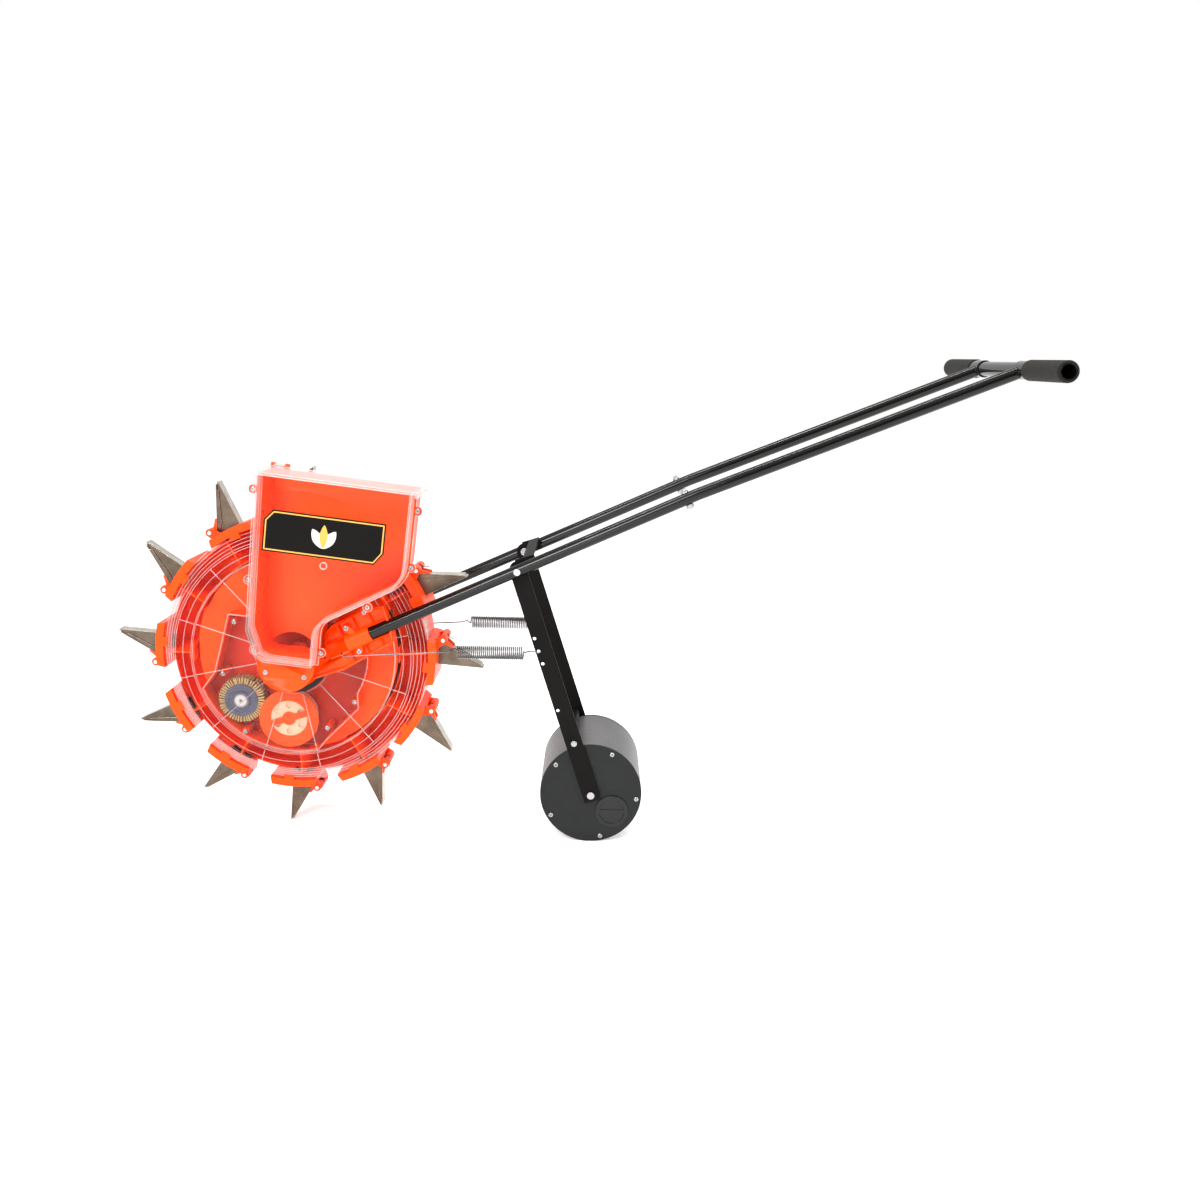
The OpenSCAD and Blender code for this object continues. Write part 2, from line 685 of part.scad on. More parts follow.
module lower_tubes() color([0.06, 0.06, 0.06]) on_axle() both_sides() translate([0, -tube_y, 0]) difference() {
    tube(tube_start, lower_a, lower_len);
    at(pivot_at) rod_y(pivot_r, -20, 20);
    joint_bolt_hole();
}
module joint_bolt_hole() at(along(joint_at, lower_a, -18)) swing(lower_a) cylinder(r = 3, h = 60, center = true);

// Upper tubes: a swaged spigot plugs into the lower tube; the far end is coped round the handle bar
module upper_tubes() color([0.06, 0.06, 0.06]) on_axle() both_sides() translate([0, -tube_y, 0]) difference() {
    union() {
        difference() {
            bar(joint_at, upper_a, upper_len, tube_r);
            bar(joint_at, lower_a + 180, 60, tube_r + 20);
        }
        bar(along(joint_at, lower_a, -spigot_len), lower_a, spigot_len + 5, tube_r - tube_wall);
    }
    bar(along(joint_at, upper_a, 8), upper_a, upper_len, tube_r - tube_wall);
    at([bar_x, bar_z]) rod_y(bar_collar_r, -40, 40);
    joint_bolt_hole();
}

module frame_bolts() color([0.85, 0.85, 0.87]) on_axle() both_sides() {
    // Leg pivots
    at(pivot_at) {
        rod_y(pivot_r, -110, -84);
        rod_y(pivot_head_r, -110 - nut_t, -110);
        rod_y(pivot_head_r + 1, -84, nut_t - 84);
    }
    // Bolts through the tube joints
    translate([0, -tube_y, 0]) at(along(joint_at, lower_a, -18)) swing(lower_a) {
        cylinder(r = 3, h = 2 * tube_r + 14, center = true);
        translate([0, 0, tube_r]) cylinder(r = 5.5, h = 3);
        translate([0, 0, -tube_r - 5]) cylinder(r = 6, h = 5, $fn = 6);
    }
}

module handle_bar() color([0.12, 0.12, 0.12]) on_axle() at([bar_x, bar_z]) difference() {
    union() {
        rod_y(bar_r, -bar_half, bar_half);
        both_sides() rod_y(bar_collar_r, -grip_start, 16 - tube_y);
    }
    rod_y(bar_bore_r, -bar_half - over, bar_half + over);
}

module grips() color([0.16, 0.16, 0.16]) on_axle() at([bar_x, bar_z]) both_sides()
    ring_y(bar_r, grip_r, -bar_half, -grip_start);

module leg_springs() color([0.8, 0.8, 0.82]) on_axle() both_sides() translate([0, -spring_y, 0]) {
    wire_a = atan2(coil_z - hook_at[1], coil_x0 - hook_at[0]);
    bar(hook_at, wire_a, norm([coil_x0, coil_z] - hook_at), wire_r);
    difference() {
        bar([coil_x0, coil_z], 0, coil_x1 - coil_x0, coil_r);
        bar([coil_x0 + 2, coil_z], 0, coil_x1 - coil_x0 - 4, coil_r - 2 * wire_r);
    }
    end_a = atan2(spring_hole[1] - coil_z, spring_hole[0] - coil_x1);
    bar([coil_x1, coil_z], end_a, norm(spring_hole - [coil_x1, coil_z]) + wire_r, wire_r);
    at(hook_at) rod_y(wire_r, 0, spring_y - plate_y0);
    at(spring_hole) rod_y(wire_r, 0, spring_y - arm_y0 + 2);
}

// ---- Leg and roller ----
module in_leg() on_axle() at(pivot_at) swing(leg_a) children();

module leg_arms() color([0.09, 0.09, 0.09]) in_leg() both_sides() difference() {
    xz(-arm_y0 - arm_t, -arm_y0) {
        translate([0, -arm_w / 2]) square([leg_len + arm_end, arm_w]);
        circle(r = arm_w / 2);
        // Ear that carries the cross plate
        translate([-16, 0]) square([20, 30]);
    }
    rod_y(pivot_r + run, -100, 0);
    for (s = LEG_HOLES) translate([s, 0, leg_hole_t]) rod_y(leg_hole_r, -100, 0);
    translate([tie_s, 0, 0]) rod_y(3, -100, 0);
    translate([leg_len, 0, 0]) rod_y(roller_bore_r - run, -100, 0);
}

module leg_braces() color([0.1, 0.1, 0.1]) in_leg() {
    // Cross plate between the tops of the arms
    translate([-16, -arm_y0, 13]) cube([3, 2 * arm_y0, 17]);
    // Spacer tube of the lower tie
    translate([tie_s, 0, 0]) ring_y(3, tie_r, -arm_y0, arm_y0);
}

module leg_bolts() color([0.85, 0.85, 0.87]) in_leg() {
    translate([tie_s, 0, 0]) {
        rod_y(3, -arm_y0 - 7, arm_y0 + 7);
        both_sides() rod_y(tie_head_r, -arm_y0 - arm_t - 3, -arm_y0 - arm_t);
    }
    translate([leg_len, 0, 0]) both_sides() {
        rod_y(roller_bore_r - run, -arm_y0 - 7, -56);
        rod_y(roller_head_r, -arm_y0 - arm_t - nut_t, -arm_y0 - arm_t);
    }
}

module on_roller() on_axle() at(roller_at_xz) children();
module roller_drum() color([0.2, 0.2, 0.21]) on_roller()
    ring_y(roller_r - drum_t, roller_r, -roller_half + cap_t, roller_half - cap_t);

module roller_caps() color([0.12, 0.13, 0.14]) on_roller() {
    difference() {
        both_sides() union() {
            rod_y(roller_r, -roller_half, -roller_half + cap_t);
            ring_y(roller_r - drum_t - 2.4, roller_r - drum_t, cap_t - roller_half, cap_t - roller_half + 12);
            rod_y(12, cap_t - roller_half, -52);
        }
        both_sides() rod_y(roller_bore_r, -roller_half - over, -55);
        at(along([0, 0], plug_a, plug_d)) rod_y(plug_neck_r, -90, -60);
        for (a = CAP_SCREW_ANGLES) both_sides() at(along([0, 0], a, cap_screw_ring)) rod_y(1.8, -90, -70);
    }
}

module cap_screws() color([0.85, 0.85, 0.87]) on_roller() both_sides() for (a = CAP_SCREW_ANGLES)
    screw_y(along([0, 0], a, cap_screw_ring), -roller_half - 2, 4, 2, 1.8, 8);

module filler_plug() color([0.07, 0.07, 0.07]) on_roller() at(along([0, 0], plug_a, plug_d)) {
    ring_y(plug_neck_r - 1.5, plug_r, -roller_half - 2.5, -roller_half);
    rod_y(plug_neck_r - 1.5, -roller_half - 0.8, -roller_half);
    ring_y(plug_neck_r - 3, plug_neck_r - run, -roller_half, -roller_half + 7);
    rod_y(plug_neck_r - 3, -roller_half, -roller_half + 2);
    xz(-roller_half - 2.5, -roller_half - 0.8) translate([-plug_neck_r + 1.5, -3]) square([2 * plug_neck_r - 3, 6]);
}

axle();
near_bracket();
far_bracket();
tube_saddles();
frame_screws();
hopper_back();
hopper_front();
meter_plate();
meter_cover();
lower_tubes();
upper_tubes();
frame_bolts();
handle_bar();
grips();
leg_springs();
back_shell();
clear_cover();
ring_gear();
hub_bush();
bill_seats();
fixed_bills();
hinge_pins();
bill_springs();
cover_screws();
// Each planting unit's lever and moving bill are nodes of their own
function two_digits(n) = n < 10 ? str("0", n) : str(n);
for (n = [1:BILLS]) bill_lever(n);
for (n = [1:BILLS]) moving_bill(n);
seed_roller();
roller_gear();
brush_bristles();
brush_hub();
leg_arms();
leg_braces();
leg_bolts();
roller_drum();
roller_caps();
cap_screws();
filler_plug();
hopper_lid();
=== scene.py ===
import json
import math
import random

import bpy
from mathutils import Euler, Matrix, Vector


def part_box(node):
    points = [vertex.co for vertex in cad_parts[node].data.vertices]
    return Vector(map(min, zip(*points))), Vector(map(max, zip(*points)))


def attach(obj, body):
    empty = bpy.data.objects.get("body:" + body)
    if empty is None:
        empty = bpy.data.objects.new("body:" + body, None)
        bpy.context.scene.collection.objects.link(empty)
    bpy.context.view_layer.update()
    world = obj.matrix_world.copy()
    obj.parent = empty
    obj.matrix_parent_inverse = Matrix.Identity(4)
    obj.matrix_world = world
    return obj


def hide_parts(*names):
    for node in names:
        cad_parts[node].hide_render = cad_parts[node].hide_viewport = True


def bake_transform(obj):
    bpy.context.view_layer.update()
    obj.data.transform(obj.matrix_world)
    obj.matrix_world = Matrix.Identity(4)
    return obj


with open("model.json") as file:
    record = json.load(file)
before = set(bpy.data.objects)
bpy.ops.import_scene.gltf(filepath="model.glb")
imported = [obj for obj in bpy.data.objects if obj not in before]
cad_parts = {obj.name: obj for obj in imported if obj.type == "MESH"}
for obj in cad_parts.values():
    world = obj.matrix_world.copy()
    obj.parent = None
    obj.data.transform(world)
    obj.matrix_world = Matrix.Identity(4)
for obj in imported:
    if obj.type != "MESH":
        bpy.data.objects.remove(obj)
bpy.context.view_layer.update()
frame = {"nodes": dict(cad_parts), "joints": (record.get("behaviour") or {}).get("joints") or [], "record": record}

MM = 0.001
NODES = frame["nodes"]
JOINTS = {joint["name"]: joint for joint in frame["joints"]}
rng = random.Random(12)

UNITS = 12
UNIT_NUMBERS = [f"{number:02d}" for number in range(1, UNITS + 1)]


# ---- Places taken from the frame ----
def middle(node):
    low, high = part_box(node)
    return (Vector(low) + Vector(high)) / 2


AXLE = middle("axle")
LID_AXIS = Vector(JOINTS["lid_open"]["axis"])
LEAN = math.atan2(LID_AXIS.z, -LID_AXIS.x)
# A unit's hinge pin in the unit's own plane: along its radius and across it
PIN = (232 * MM, 41 * MM)


def turned(x, z, angle):
    """A point (x, z) turned in the XZ plane, anticlockwise as seen from the hopper side."""
    return x * math.cos(angle) - z * math.sin(angle), x * math.sin(angle) + z * math.cos(angle)


def unit_angle(number):
    pin = Vector(JOINTS[f"bill_{number}_open"]["pos_m"]) - AXLE
    return math.atan2(pin.z, pin.x) - math.atan2(PIN[1], PIN[0])


def on_hopper(u, v, y):
    """A point on the leaning hopper: u along its mouth, v up from the axle."""
    x, z = turned(u, v, -LEAN)
    return Vector((AXLE.x + x, y, AXLE.z + z))


# ---- Materials ----
# Scale, detail and stretch of the flow marks in moulded plastic, and how far scuffs change its gloss
FLOW_MARKS = (9, 3, (1, 0.5, 1))
SCUFFS = 0.06


def new_material(name):
    mat = bpy.data.materials.new(name)
    mat.use_nodes = True
    tree = mat.node_tree
    shader = tree.nodes["Principled BSDF"]
    place = tree.nodes.new("ShaderNodeTexCoord").outputs["Object"]
    return mat, tree, shader, place


def noise(tree, place, scale, detail=3.0, stretch=None):
    if stretch:
        mapping = tree.nodes.new("ShaderNodeMapping")
        mapping.inputs["Scale"].default_value = stretch
        tree.links.new(place, mapping.inputs["Vector"])
        place = mapping.outputs["Vector"]
    texture = tree.nodes.new("ShaderNodeTexNoise")
    texture.inputs["Scale"].default_value = scale
    texture.inputs["Detail"].default_value = detail
    tree.links.new(place, texture.inputs["Vector"])
    return texture.outputs["Fac"]


def ramp(tree, value, low, high, start=0.3, end=0.7):
    """Colours or greys from low to high as value goes from start to end."""
    node = tree.nodes.new("ShaderNodeValToRGB")
    first, last = node.color_ramp.elements
    first.position, last.position = start, end
    first.color, last.color = low, high
    tree.links.new(value, node.inputs["Fac"])
    return node.outputs["Color"]


def grey(value):
    return (value, value, value, 1)


def shade(colour, factor):
    return tuple(min(1, channel * factor) for channel in colour) + (1,)


def bump(tree, shader, heights, strength, distance):
    """Chains bump nodes, one for each height."""
    normal = None
    for height, share in zip(heights, strength):
        node = tree.nodes.new("ShaderNodeBump")
        node.inputs["Strength"].default_value = share
        node.inputs["Distance"].default_value = distance
        tree.links.new(height, node.inputs["Height"])
        if normal:
            tree.links.new(normal, node.inputs["Normal"])
        normal = node.outputs["Normal"]
    tree.links.new(normal, shader.inputs["Normal"])


def moulded(name, colour, rough, grain=0.06, depth=0.05, gloss=0.5):
    """Moulded plastic: faint flow marks in the colour, fine grain, and scuffs in the gloss."""
    mat, tree, shader, place = new_material(name)
    flow = noise(tree, place, *FLOW_MARKS)
    marks = ramp(tree, flow, shade(colour, 1 - depth), shade(colour, 1 + depth))
    tree.links.new(marks, shader.inputs["Base Color"])
    scuffs = noise(tree, place, scale=140, detail=6)
    dullness = ramp(tree, scuffs, grey(rough - SCUFFS), grey(rough + SCUFFS), start=0.35, end=0.7)
    tree.links.new(dullness, shader.inputs["Roughness"])
    fine_grain = noise(tree, place, scale=1500, detail=2)
    waves = noise(tree, place, scale=45, detail=2)
    bump(tree, shader, [fine_grain, waves], strength=[grain, 0.05], distance=0.4 * MM)
    shader.inputs["Specular IOR Level"].default_value = gloss
    return mat


def clear(name, tint, face_on, edge_on, rough=0.06):
    """Clear plastic with a tint, dense by face_on when seen face on and by edge_on when seen along it."""
    mat, tree, shader, place = new_material(name)
    haze = noise(tree, place, scale=22, detail=4)
    tree.links.new(ramp(tree, haze, shade(tint, 0.97), shade(tint, 1.03)), shader.inputs["Base Color"])
    scratches = noise(tree, place, scale=90, detail=5)
    dullness = ramp(tree, scratches, grey(rough), grey(rough + 0.08), start=0.4, end=0.75)
    tree.links.new(dullness, shader.inputs["Roughness"])
    bump(tree, shader, [noise(tree, place, scale=30, detail=2)], strength=[0.12], distance=0.6 * MM)
    weight = tree.nodes.new("ShaderNodeLayerWeight")
    weight.inputs["Blend"].default_value = 0.5
    density = ramp(tree, weight.outputs["Facing"], grey(face_on), grey(edge_on), start=0.5, end=0.98)
    tree.links.new(density, shader.inputs["Alpha"])
    return mat


def enamel(name, colour, rough, peel=0.15, gloss=0.3):
    """Baked enamel on steel: orange-peel waviness, dust specks and a clear gloss."""
    mat, tree, shader, place = new_material(name)
    patches = noise(tree, place, scale=14, detail=4)
    tree.links.new(ramp(tree, patches, shade(colour, 0.85), shade(colour, 1.25)), shader.inputs["Base Color"])
    dust = noise(tree, place, scale=260, detail=5)
    dullness = ramp(tree, dust, grey(rough), grey(rough + 0.12), start=0.45, end=0.75)
    tree.links.new(dullness, shader.inputs["Roughness"])
    orange_peel = noise(tree, place, scale=420, detail=2)
    waves = noise(tree, place, scale=60, detail=2)
    bump(tree, shader, [orange_peel, waves], strength=[peel, 0.05], distance=0.3 * MM)
    shader.inputs["Specular IOR Level"].default_value = gloss
    return mat


def metal(name, colour, rough, stretch=(1, 1, 1), stain=0.12):
    """Plated or drawn steel: fine drawing lines along one way and dull stains in the plating."""
    mat, tree, shader, place = new_material(name)
    stains = noise(tree, place, scale=55, detail=6)
    plating = ramp(tree, stains, shade(colour, 1 - stain), shade(colour, 1 + stain), start=0.38, end=0.62)
    tree.links.new(plating, shader.inputs["Base Color"])
    lines = noise(tree, place, 700, 3, stretch)
    tree.links.new(ramp(tree, lines, grey(rough - 0.07), grey(rough + 0.1)), shader.inputs["Roughness"])
    bump(tree, shader, [lines], strength=[0.12], distance=0.2 * MM)
    shader.inputs["Metallic"].default_value = 1.0
    return mat


def opened(mat):
    """A finished material's node tree, its shader and the place on the object."""
    tree = mat.node_tree
    place = tree.nodes.new("ShaderNodeTexCoord").outputs["Object"]
    return tree, tree.nodes["Principled BSDF"], place


def mix_in(tree, shader, share, colour):
    """Mixes a second colour into a shader's base colour, by share."""
    blend = tree.nodes.new("ShaderNodeMixRGB")
    tree.links.new(share, blend.inputs["Fac"])
    tree.links.new(shader.inputs["Base Color"].links[0].from_socket, blend.inputs["Color1"])
    tree.links.new(colour, blend.inputs["Color2"])
    tree.links.new(blend.outputs["Color"], shader.inputs["Base Color"])


def painted_side_shade(mat, colour):
    """A second colour on the faces that look along Y: painted shade on the side walls of folded sheet."""
    tree, shader, place = opened(mat)
    way = tree.nodes.new("ShaderNodeSeparateXYZ")
    tree.links.new(tree.nodes.new("ShaderNodeTexCoord").outputs["Normal"], way.inputs["Vector"])
    sideways = tree.nodes.new("ShaderNodeMath")
    sideways.operation = "ABSOLUTE"
    tree.links.new(way.outputs["Y"], sideways.inputs[0])
    # Painted shade: the share of the shade colour grows as a face turns to look along Y
    share = ramp(tree, sideways.outputs["Value"], grey(0), grey(1), start=0.75, end=0.98)
    stains = noise(tree, place, scale=40, detail=5)
    mix_in(tree, shader, share, ramp(tree, stains, shade(colour, 0.75), shade(colour, 1.35)))
    return mat


def foam(name, colour):
    """Closed-cell foam rubber: open pores and a soft, uneven skin."""
    mat, tree, shader, place = new_material(name)
    pores = tree.nodes.new("ShaderNodeTexVoronoi")
    pores.inputs["Scale"].default_value = 900
    tree.links.new(place, pores.inputs["Vector"])
    depth = pores.outputs["Distance"]
    skin = ramp(tree, depth, shade(colour, 1.35), shade(colour, 0.7), start=0.1, end=0.6)
    tree.links.new(skin, shader.inputs["Base Color"])
    wear = noise(tree, place, scale=200, detail=4)
    tree.links.new(ramp(tree, wear, grey(0.72), grey(0.92)), shader.inputs["Roughness"])
    lumps = noise(tree, place, scale=120, detail=3)
    bump(tree, shader, [depth, lumps], strength=[0.35, 0.15], distance=0.5 * MM)
    shader.inputs["Sheen Weight"].default_value = 0.03
    shader.inputs["Sheen Roughness"].default_value = 0.6
    shader.inputs["Specular IOR Level"].default_value = 0.12
    return mat


def two_colour(name, inner, outer, y):
    """Moulded plastic with its inner colour beyond y, and its outer colour in front of it."""
    mat = moulded(name, outer, 0.36, gloss=0.14)
    tree, shader, place = opened(mat)
    depth = tree.nodes.new("ShaderNodeSeparateXYZ")
    tree.links.new(place, depth.inputs["Vector"])
    beyond = tree.nodes.new("ShaderNodeMath")
    beyond.operation = "GREATER_THAN"
    beyond.inputs[1].default_value = y
    tree.links.new(depth.outputs["Y"], beyond.inputs[0])
    flow = noise(tree, place, *FLOW_MARKS)
    mix_in(tree, shader, beyond.outputs["Value"], ramp(tree, flow, shade(inner, 0.95), shade(inner, 1.05)))
    return mat


def capped(name, colour, centre, radius):
    """Moulded plastic with a bare metal cap of a given radius, dark in its middle, round a line along Y."""
    mat = moulded(name, colour, 0.5, grain=0.12)
    tree, shader, place = opened(mat)
    flat = tree.nodes.new("ShaderNodeVectorMath")
    flat.operation = "MULTIPLY"
    flat.inputs[1].default_value = (1, 0, 1)
    tree.links.new(place, flat.inputs[0])
    away = tree.nodes.new("ShaderNodeVectorMath")
    away.operation = "DISTANCE"
    away.inputs[1].default_value = (centre.x, 0, centre.z)
    tree.links.new(flat.outputs["Vector"], away.inputs[0])
    distance = away.outputs["Value"]
    cap = ramp(tree, distance, grey(1), grey(0), start=radius, end=radius + 0.2 * MM)
    steel = ramp(tree, distance, shade(colour, 0.1), CAP_STEEL, start=2.5 * MM, end=4 * MM)
    mix_in(tree, shader, cap, steel)
    tree.links.new(cap, shader.inputs["Metallic"])
    return mat


ORANGE = (0.95, 0.062, 0.002)
# Painted shade: the deep red of the meter plate inside its housing
PAINTED_SHADE_RED = (0.55, 0.020, 0.004)
BEIGE = (0.72, 0.42, 0.28)
CAP_STEEL = (0.5, 0.49, 0.46, 1)
MATERIALS = {
    "orange_plastic": moulded("orange_plastic", ORANGE, 0.33, gloss=0.14),
    "salmon_plastic": moulded("salmon_plastic", (1.0, 0.085, 0.02), 0.36, gloss=0.16),
    "clear_plastic": clear("clear_plastic", (0.88, 0.60, 0.55), 0.008, 0.6),
    "lid_plastic": clear("lid_plastic", (0.70, 0.52, 0.49), 0.16, 0.5),
    "black_plastic": moulded("black_plastic", (0.009, 0.010, 0.0098), 0.5, grain=0.16, depth=0.15, gloss=0.2),
    "grey_plastic": moulded("grey_plastic", (0.45, 0.45, 0.42), 0.45),
    "blue_grey_plastic": moulded("blue_grey_plastic", (0.07, 0.075, 0.12), 0.5, grain=0.12),
    "bristle": moulded("bristle", (0.42, 0.27, 0.11), 0.7, grain=0.3, depth=0.3),
    "foam": foam("foam", (0.013, 0.011, 0.009)),
    "black_tube": enamel("black_tube", (0.003, 0.0027, 0.0024), 0.08, peel=0.003, gloss=0.3),
    "black_plate": enamel("black_plate", (0.0035, 0.003, 0.0027), 0.5, gloss=0.08),
    "roller_grey": enamel("roller_grey", (0.075, 0.072, 0.072), 0.42, peel=0.25, gloss=0.5),
    # The bills' steel, with painted shade in place of its own colour on the side walls that look along Y
    "bill_steel": painted_side_shade(
        metal("bill_steel", (0.50, 0.46, 0.40), 0.3, stretch=(1, 0.15, 1), stain=0.16),
        (0.115, 0.088, 0.066),
    ),
    "bare_steel": metal("bare_steel", (0.55, 0.55, 0.56), 0.3, stretch=(1, 0.2, 1)),
    "spring_steel": metal("spring_steel", (0.15, 0.147, 0.143), 0.22),
    "zinc_screws": metal("zinc_screws", (0.36, 0.36, 0.37), 0.25, stain=0.1),
}
# Painted shade: a dark brown for the body under the tufts, standing in for the shade between them
ROOT_SHADE = moulded("bristle_root_shade", (0.045, 0.028, 0.012), 0.8, grain=0.3, depth=0.3)
# Painted highlight: a paler, denser clear for the beads, ribs and edge strips, standing in for the light along
# clear edges
EDGE_HIGHLIGHT = clear("clear_edge_highlight", (0.96, 0.78, 0.75), 0.36, 0.8, rough=0.12)
LABEL_BLACK = moulded("label_black", (0.005, 0.0042, 0.0037), 0.5, grain=0.03, depth=0.1, gloss=0.06)
LABEL_GOLD = moulded("label_gold", (0.60, 0.31, 0.035), 0.28, grain=0.03)
LABEL_LEAF = moulded("label_leaf", (0.62, 0.60, 0.56), 0.35, grain=0.03)


# ---- Mesh helpers ----
# The corners of a square bar's section, and the bar's faces when its two ends' corners are listed in turn
SQUARE = ((-1, -1), (1, -1), (1, 1), (-1, 1))
BAR_FACES = [(3, 2, 1, 0), (4, 5, 6, 7), (0, 1, 5, 4), (1, 2, 6, 5), (2, 3, 7, 6), (3, 0, 4, 7)]


def make(name, verts, faces, slot, body, replaces=(), smooth=True, material=None):
    mesh = bpy.data.meshes.new(name)
    mesh.from_pydata([tuple(v) for v in verts], [], faces)
    mesh.validate()
    mesh.polygons.foreach_set("use_smooth", [smooth] * len(mesh.polygons))
    piece = bpy.data.objects.new(name, mesh)
    bpy.context.scene.collection.objects.link(piece)
    mesh.materials.append(material or MATERIALS[slot])
    if body:
        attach(piece, body)
    if replaces:
        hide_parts(*replaces)
    return piece


def soften(piece, width, angle=35, merge=True):
    """Rounds every hard edge a little, as moulding and pressing do, and keeps flats flat.

    merge joins the flat faces' triangles first."""
    weld = piece.modifiers.new("weld", "WELD")
    weld.merge_threshold = 0.02 * MM
    if merge:
        plane = piece.modifiers.new("plane", "DECIMATE")
        plane.decimate_type = "DISSOLVE"
        plane.angle_limit = math.radians(0.6)
    bevel = piece.modifiers.new("bevel", "BEVEL")
    bevel.width = width
    bevel.segments = 2
    bevel.limit_method = "ANGLE"
    bevel.angle_limit = math.radians(angle)
    bevel.use_clamp_overlap = True
    flat = piece.modifiers.new("flat", "WEIGHTED_NORMAL")
    flat.weight = 100
    flat.keep_sharp = False
    for polygon in piece.data.polygons:
        polygon.use_smooth = True


def sweep(points, radius, sides=8):
    """A round wire along points: vertices and faces, closed at both ends."""
    verts, faces = [], []
    side = None
    for index, point in enumerate(points):
        ahead = points[min(index + 1, len(points) - 1)] - points[max(index - 1, 0)]
        ahead.normalize()
        if side is None:
            side = ahead.orthogonal().normalized()
        side = (side - ahead * side.dot(ahead)).normalized()
        other = ahead.cross(side)
        for step in range(sides):
            turn = 2 * math.pi * step / sides
            verts.append(point + radius * (math.cos(turn) * side + math.sin(turn) * other))
    for ring in range(len(points) - 1):
        for step in range(sides):
            a, b = ring * sides + step, ring * sides + (step + 1) % sides
            faces.append((a, b, b + sides, a + sides))
    faces.append(tuple(range(sides))[::-1])
    faces.append(tuple(range(len(verts) - sides, len(verts))))
    return verts, faces


def joined(parts):
    """Several (vertices, faces) as one."""
    verts, faces = [], []
    for part_verts, part_faces in parts:
        start = len(verts)
        verts.extend(part_verts)
        faces.extend(tuple(start + index for index in face) for face in part_faces)
    return verts, faces


def lathe(profile, centre, segments=96):
    """A closed profile of (radius, y) turned round the line along Y through centre."""
    verts, faces = [], []
    for step in range(segments):
        turn = 2 * math.pi * step / segments
        for radius, y in profile:
            verts.append(Vector((centre.x + radius * math.cos(turn), y, centre.z + radius * math.sin(turn))))
    count = len(profile)
    for step in range(segments):
        here = step * count
        beyond = (step + 1) % segments * count
        for index in range(count):
            after = (index + 1) % count
            faces.append((here + index, here + after, beyond + after, beyond + index))
    return verts, faces


def islands(node):
    """The boxes (low, high) of a CAD node's separate solids."""
    mesh = NODES[node].data
    parent = {}

    def root(key):
        while parent[key] != key:
            parent[key] = parent[parent[key]]
            key = parent[key]
        return key

    keys = [tuple(round(c, 5) for c in v.co) for v in mesh.vertices]
    for key in keys:
        parent[key] = key
    for polygon in mesh.polygons:
        first = root(keys[polygon.vertices[0]])
        for index in polygon.vertices[1:]:
            parent[root(keys[index])] = first
    groups = {}
    for key in set(keys):
        groups.setdefault(root(key), []).append(key)
    boxes = []
    for points in groups.values():
        low = Vector([min(p[i] for p in points) for i in range(3)])
        high = Vector([max(p[i] for p in points) for i in range(3)])
        boxes.append((low, high))
    return sorted(boxes, key=lambda box: tuple(round(c, 5) for c in box[0]))


# ---- Camera, sky, floor and lamps ----
# The camera's place in metres, its angles in degrees, and its sensor and lens in millimetres
CAMERA_FROM_AXLE = 0.477
CAMERA_SIDE = -1.8814
CAMERA_HEIGHT = 0.7786
CAMERA_PITCH = 78.24
CAMERA_HEADING = -0.37
CAMERA_ROLL = 1.08
SENSOR = 36.0
LENS = 35.12
# In metres
FLOOR_REACH = 14


def camera():
    data = bpy.data.cameras.new("camera")
    data.sensor_width = SENSOR
    data.lens = LENS
    data.clip_end = 50
    cam = bpy.data.objects.new("camera", data)
    bpy.context.scene.collection.objects.link(cam)
    cam.location = (AXLE.x + CAMERA_FROM_AXLE, CAMERA_SIDE, CAMERA_HEIGHT)
    aim = Euler((math.radians(CAMERA_PITCH), 0, math.radians(CAMERA_HEADING))).to_matrix()
    roll = Matrix.Rotation(math.radians(CAMERA_ROLL), 3, "Z")
    cam.rotation_euler = (aim @ roll).to_euler()
    bpy.context.scene.camera = cam


def lamp(name, place, aim, width, power, height=None):
    """A rectangular lamp, which is square unless it has a height of its own."""
    data = bpy.data.lights.new(name, "AREA")
    data.energy = power
    data.shape = "RECTANGLE"
    data.size = width
    data.size_y = height or width
    light = bpy.data.objects.new(name, data)
    light.location = place
    light.rotation_euler = (Vector(aim) - Vector(place)).to_track_quat("-Z", "Y").to_euler()
    bpy.context.scene.collection.objects.link(light)


def sky():
    """White behind the object and overhead, and dark on the camera's side, where only lamps show in gloss."""
    scene = bpy.context.scene
    scene.view_settings.view_transform = "Standard"
    world = bpy.data.worlds.new("studio")
    world.use_nodes = True
    tree = world.node_tree
    way = tree.nodes.new("ShaderNodeSeparateXYZ")
    tree.links.new(tree.nodes.new("ShaderNodeTexCoord").outputs["Generated"], way.inputs["Vector"])
    behind = ramp(tree, way.outputs["Y"], grey(0.16), grey(1.0), start=-0.25, end=0.2)
    above = ramp(tree, way.outputs["Z"], grey(0.0), grey(1.0), start=0.35, end=0.8)
    brighter = tree.nodes.new("ShaderNodeMath")
    brighter.operation = "MAXIMUM"
    tree.links.new(behind, brighter.inputs[0])
    tree.links.new(above, brighter.inputs[1])
    tree.links.new(brighter.outputs["Value"], tree.nodes["Background"].inputs["Color"])
    scene.world = world


def floor():
    """A white floor that glows a little, so that it stays white to the picture's edge."""
    mesh = bpy.data.meshes.new("floor")
    mesh.from_pydata([(x * FLOOR_REACH, y * FLOOR_REACH, 0) for x, y in SQUARE], [], [(0, 1, 2, 3)])
    ground = bpy.data.objects.new("floor", mesh)
    bpy.context.scene.collection.objects.link(ground)
    mat, _, shader, _ = new_material("floor")
    shader.inputs["Base Color"].default_value = (0.9, 0.9, 0.9, 1)
    shader.inputs["Roughness"].default_value = 0.9
    shader.inputs["Emission Color"].default_value = (1, 1, 1, 1)
    shader.inputs["Emission Strength"].default_value = 0.3
    mesh.materials.append(mat)


